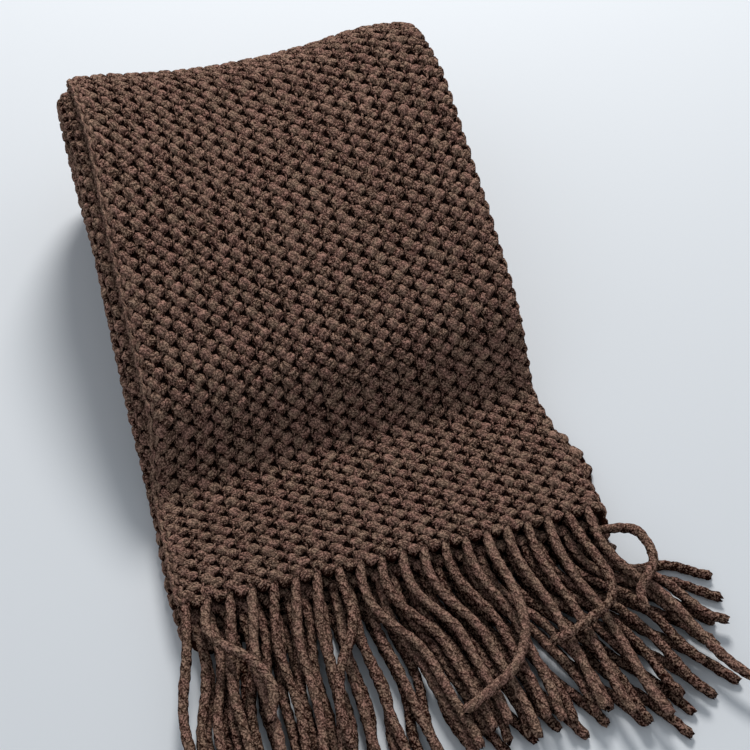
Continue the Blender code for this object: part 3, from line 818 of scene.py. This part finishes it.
# ---- operators ----
class THROW_OT_backing(bpy.types.Operator):
    """Add the cloth behind the stitches, folded as the throw is"""
    bl_idname = "throw.backing"
    bl_label = "Folded cloth"

    def execute(self, context):
        _, colours = settings(context)
        layers = (FLAT_LAYER, FOLD_LENGTH, MIDDLE_LAYER, FOLD_LENGTH, FLAT_LAYER)
        widths = self.stations(zip(layers, BACKING_ACROSS))
        lengths = self.stations(zip(PATH.lengths, BACKING_ALONG))
        mesh = bmesh.new()
        columns, rows = len(widths) - 1, len(lengths) - 1
        bmesh.ops.create_grid(mesh, x_segments=columns, y_segments=rows, size=0.5)
        bmesh.ops.translate(mesh, verts=mesh.verts[:], vec=(0.5, 0.5, 0.0))
        bmesh.ops.scale(mesh, verts=mesh.verts[:], vec=(columns, rows, 1.0))
        top = bmesh.ops.extrude_face_region(mesh, geom=mesh.faces[:])
        raised = [item for item in top["geom"] if isinstance(item, bmesh.types.BMVert)]
        bmesh.ops.translate(mesh, verts=raised, vec=(0.0, 0.0, 1.0))
        flat = np.array([vertex.co[:] for vertex in mesh.verts])
        placed = fold(np.interp(flat[:, 0], range(columns + 1), widths),
                      np.interp(flat[:, 1], range(rows + 1), lengths), (flat[:, 2] - 0.5) * BACKING)
        for vertex, point in zip(mesh.verts, placed):
            vertex.co = point
        bmesh.ops.recalc_face_normals(mesh, faces=mesh.faces[:])
        data = bpy.data.meshes.new("knit_cloth")
        mesh.to_mesh(data)
        mesh.free()
        # the cloth's near-black colour is painted shade for the gaps between the stitches
        piece = finish_piece(data, "knit_cloth", backing_material(colours.painted_gap_shade))
        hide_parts("blanket")
        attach(piece, "root")
        return {"FINISHED"}

    @staticmethod
    def stations(parts):
        """Places over parts one after another, each cut into its number of steps."""
        places = [0.0]
        for length, steps in parts:
            places += [places[-1] + length * (step + 1) / steps for step in range(steps)]
        return places


def finish_stitches(heap, name, colours):
    piece = heap.piece(name, yarn_material("Chenille stitches", colours))
    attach(piece, "root")


class THROW_OT_stitches(bpy.types.Operator):
    """Add the stitches of the visible face: the near flap, the slope, the top and the far fold"""
    bl_idname = "throw.stitches"
    bl_label = "Stitches of the upper face"

    def execute(self, context):
        sizes, colours = settings(context)
        puff = puff_shape(*PUFF_FACES)
        for name, rows in (("stitches_flap", (0, FLAP_END)), ("stitches_pile", (FLAP_END, PILE_END)),
                           ("stitches_far", (PILE_END, FAR_END))):
            heap = Heap()
            add_puffs(heap, on_front, puff, sizes, FIRST_COLUMN, (0, COLUMNS + 1), rows)
            for column in range(COLUMNS + 1):
                add_chain(heap, on_front, FIRST_COLUMN + (column + CHAIN_PLACE) * COLUMN, rows, sizes.chain)
            for place in EDGE_CHAINS:
                add_chain(heap, on_front, place, rows, sizes.edge_chain, EDGE_CHAIN_RISE, EDGE_CHAIN_SHADE)
            finish_stitches(heap, name, colours)
        return {"FINISHED"}


class THROW_OT_edges(bpy.types.Operator):
    """Add the stitches of the side folds, the lower layers' edges and the underside"""
    bl_idname = "throw.edges"
    bl_label = "Stitches of the sides and the underside"

    def execute(self, context):
        sizes, colours = settings(context)
        puff, plain = puff_shape(*PUFF_FACES), puff_shape(*HIDDEN_PUFF_FACES)
        buried = (FAR_END, int(OUTER_LENGTHS[-1] / ROW) - int(MARGIN / ROW))
        whole = (0, int(LENGTH / ROW))

        heap = Heap()
        # the right fold of the first two layers inside the pile, and the third layer's right edge
        add_puffs(heap, on_front, puff, sizes, 0.0, (COLUMNS - 1, COLUMNS + 1), buried)
        add_puffs(heap, on_back, puff, sizes, 0.0, (0, 2), whole)
        for place in RIGHT_CHAINS:
            add_chain(heap, on_back, place, whole, sizes.chain, RIGHT_CHAIN_RISE)
        finish_stitches(heap, "stitches_right_edge", colours)

        heap = Heap()
        # the left fold of the second and third layers, and the first layer's left edge inside the pile
        left_fold = int(FLAT_LAYER / COLUMN)
        add_puffs(heap, on_back, puff, sizes, 0.0, (left_fold, left_fold + 3), whole)
        for column in range(left_fold, left_fold + 3):
            add_chain(heap, on_back, (column + CHAIN_PLACE) * COLUMN, whole, sizes.chain)
        add_puffs(heap, on_front, puff, sizes, 0.0, (0, 2), buried)
        # that edge's lower side outside the pile, and the third layer's underside next to its fold
        for place in EDGE_CHAINS:
            add_chain(heap, on_back, BACK_END - place, (0, TUCK_START), sizes.edge_chain,
                      EDGE_CHAIN_RISE, EDGE_CHAIN_SHADE)
        add_puffs(heap, on_back, plain, sizes, 0.0, (left_fold - 2, left_fold), (HOLLOW_END, TUCK_START))
        finish_stitches(heap, "stitches_left_edge", colours)

        heap = Heap()
        # upper sides of the lower layers where they reach out at the near end, and the undersides
        add_puffs(heap, on_back, puff, sizes, SECOND_TOP, (0, COLUMNS), (0, REACH_END))
        add_puffs(heap, on_front, puff, sizes, THIRD_TOP, (0, COLUMNS), (0, REACH_END))
        add_puffs(heap, on_front, puff, sizes, THIRD_TOP, (COLUMNS - CORNER_COLUMNS, COLUMNS),
                  (REACH_END, CORNER_END))
        add_puffs(heap, on_back, plain, sizes, 0.0, (2, left_fold), (0, HOLLOW_END))
        add_puffs(heap, on_front, plain, sizes, 0.0, (2, COLUMNS - 1), (FAR_END, UNDERSIDE_END))
        finish_stitches(heap, "stitches_under", colours)
        return {"FINISHED"}


def finish_strands(heap, node, colours):
    """A row of strands over its solid, which has the same name with fringe in place of strands."""
    piece = heap.piece(node.replace("fringe", "strands"), yarn_material("Chenille strands", colours))
    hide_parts(node)
    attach(piece, "root")


class THROW_OT_fringe(bpy.types.Operator):
    """Add the three rows of strands at the near end"""
    bl_idname = "throw.fringe"
    bl_label = "Near fringe"

    def execute(self, context):
        sizes, colours = settings(context)
        shape = tube_shape(*STRAND_FACES)
        for layer, row in enumerate(NEAR_ROWS):
            heap = Heap()
            for number in range(row["strands"]):
                root = root_of(row, layer, number)
                if (row["name"], number) in LOOSE:
                    path = partial(loose_path, LOOSE[row["name"], number], root)
                else:
                    path = partial(near_path, row, number, root, LAYERS - 1 - layer)
                # each strand's own random tone, with painted shade darkening the lower rows
                shade = 0.5 + 0.5 * float(wobble(number, layer, 5)) - PAINTED_ROW_SHADE * layer
                add_strand(heap, shape, path, STRAND / 2, sizes.twist, shade, number + 30 * layer, TUCKED)
            finish_strands(heap, row["name"], colours)
        return {"FINISHED"}


class THROW_OT_inner_fringe(bpy.types.Operator):
    """Add the three rows of strands at the far end, inside the fold"""
    bl_idname = "throw.inner_fringe"
    bl_label = "Far fringe"

    def execute(self, context):
        sizes, colours = settings(context)
        shape = tube_shape(*INNER_STRAND_FACES)
        for layer, node in enumerate(FAR_ROWS):
            heap = Heap()
            first, last = layer_strip(layer)
            for number in range(COLUMNS):
                root = first + (last - first) * (2 * number + 0.5) / (2 * COLUMNS - 1)
                x, offset = across(np.array(root), 0.0)
                end, start_height = PATH.along(np.array(LENGTH), offset)
                floor = TUCKED_FLOOR + PRESSED_STRAND / 2 + BAND * layer
                path = partial(inner_path, x, end, start_height, floor)
                add_strand(heap, shape, path, PRESSED_STRAND / 2, sizes.twist, 0.5, number)
            finish_strands(heap, node, colours)
        return {"FINISHED"}


# ---- floor, light and camera ----
# The camera stands where the photograph seems to have been taken from.
TARGET = Vector((0.0419 - ORIGIN[0], 0.1717 - ORIGIN[1], 0.08))
AZIMUTH = math.radians(20.51)
ELEVATION = math.radians(50.90)
ROLL = math.radians(-1.27)
CAMERA_DISTANCE = 1.337
FOCAL_PIXELS = 1327.0
IMAGE_PIXELS = 750.0
SENSOR = 36.0               # width of the camera's sensor, in millimetres
FLOOR_RADIUS = 4.0
LIGHT_AIM = Vector((0.0, 0.1, 0.05))
ROOM_COLOUR, ROOM_LIGHT = (0.84, 0.90, 0.97, 1.0), 0.38


class THROW_OT_stage(bpy.types.Operator):
    """Add the floor, the lights and the camera"""
    bl_idname = "throw.stage"
    bl_label = "Floor, light and camera"

    def execute(self, context):
        _, colours = settings(context)
        self.add_floor(colours.floor)
        self.add_light("Window light", place=(0.75, 2.1, 2.3), size=1.0, power=72.0,
                       colour=(1.0, 0.985, 0.97))
        self.add_light("Fill light", place=(-2.2, -1.2, 2.6), size=2.4, power=6.0, colour=(0.92, 0.96, 1.0))
        world = bpy.data.worlds.new("Studio")
        world.use_nodes = True
        backdrop = world.node_tree.nodes["Background"]
        backdrop.inputs["Color"].default_value = ROOM_COLOUR
        backdrop.inputs["Strength"].default_value = ROOM_LIGHT
        context.scene.world = world
        context.scene.view_settings.view_transform = "Standard"
        self.add_camera(context.scene)
        return {"FINISHED"}

    @staticmethod
    def add_floor(colour):
        mesh = bmesh.new()
        bmesh.ops.create_circle(mesh, cap_ends=True, segments=64, radius=FLOOR_RADIUS)
        data = bpy.data.meshes.new("floor")
        mesh.to_mesh(data)
        mesh.free()
        material, _, shader = plain_material("Pale floor", 0.9, 0.5)
        shader["Base Color"].default_value = (*colour, 1.0)
        floor = finish_piece(data, "floor", material)

    @staticmethod
    def add_light(name, place, size, power, colour):
        data = bpy.data.lights.new(name, "AREA")
        data.shape = "DISK"
        data.size = size
        data.energy = power
        data.color = colour
        lamp = bpy.data.objects.new(name, data)
        lamp.location = place
        lamp.rotation_euler = (LIGHT_AIM - Vector(place)).to_track_quat("-Z", "Y").to_euler()
        bpy.context.scene.collection.objects.link(lamp)

    @staticmethod
    def add_camera(scene):
        level = math.cos(ELEVATION)
        look = Vector((math.sin(AZIMUTH) * level, math.cos(AZIMUTH) * level, -math.sin(ELEVATION)))
        right = look.cross(Vector((0.0, 0.0, 1.0))).normalized()
        down = look.cross(right)
        turned = right * math.cos(ROLL) + down * math.sin(ROLL)
        up = right * math.sin(ROLL) - down * math.cos(ROLL)
        place = TARGET - look * CAMERA_DISTANCE
        data = bpy.data.cameras.new("Camera")
        data.sensor_fit = "HORIZONTAL"
        data.sensor_width = SENSOR
        data.lens = SENSOR * FOCAL_PIXELS / IMAGE_PIXELS
        data.clip_start = 0.01
        data.dof.use_dof = False
        camera = bpy.data.objects.new("Camera", data)
        columns = (turned, up, -look, place)
        rows = [[column[axis] for column in columns] for axis in range(3)]
        camera.matrix_world = Matrix(rows + [[0.0, 0.0, 0.0, 1.0]])
        scene.collection.objects.link(camera)
        scene.camera = camera


class THROW_OT_declare(bpy.types.Operator):
    bl_idname = "throw.declare"
    bl_label = "Folded sheet"

    def execute(self, context):
        return {"FINISHED"}


OPERATORS = (THROW_OT_backing, THROW_OT_stitches, THROW_OT_edges, THROW_OT_fringe, THROW_OT_inner_fringe,
             THROW_OT_declare, THROW_OT_stage)


class THROW_PT_panel(bpy.types.Panel):
    """The throw's pieces, in the order they are made"""
    bl_idname = "THROW_PT_panel"
    bl_label = "Chunky knit throw"
    bl_space_type = "VIEW_3D"
    bl_region_type = "UI"
    bl_category = "Throw"

    def draw(self, context):
        for group in settings(context):
            for name in group.__annotations__:
                self.layout.prop(group, name)
        for operator in OPERATORS:
            self.layout.operator(operator.bl_idname)


CLASSES = (ThrowSizes, ThrowColours, *OPERATORS, THROW_PT_panel)


def register():
    for item in CLASSES:
        bpy.utils.register_class(item)
    bpy.types.Scene.throw_sizes = bpy.props.PointerProperty(type=ThrowSizes)
    bpy.types.Scene.throw_colours = bpy.props.PointerProperty(type=ThrowColours)


def unregister():
    del bpy.types.Scene.throw_colours
    del bpy.types.Scene.throw_sizes
    for item in reversed(CLASSES):
        bpy.utils.unregister_class(item)


def main():
    register()
    bpy.ops.throw.backing()
    bpy.ops.throw.stitches()
    bpy.ops.throw.edges()
    bpy.ops.throw.fringe()
    bpy.ops.throw.inner_fringe()
    bpy.ops.throw.declare()
    bpy.ops.throw.stage()


if __name__ == "__main__":
    main()
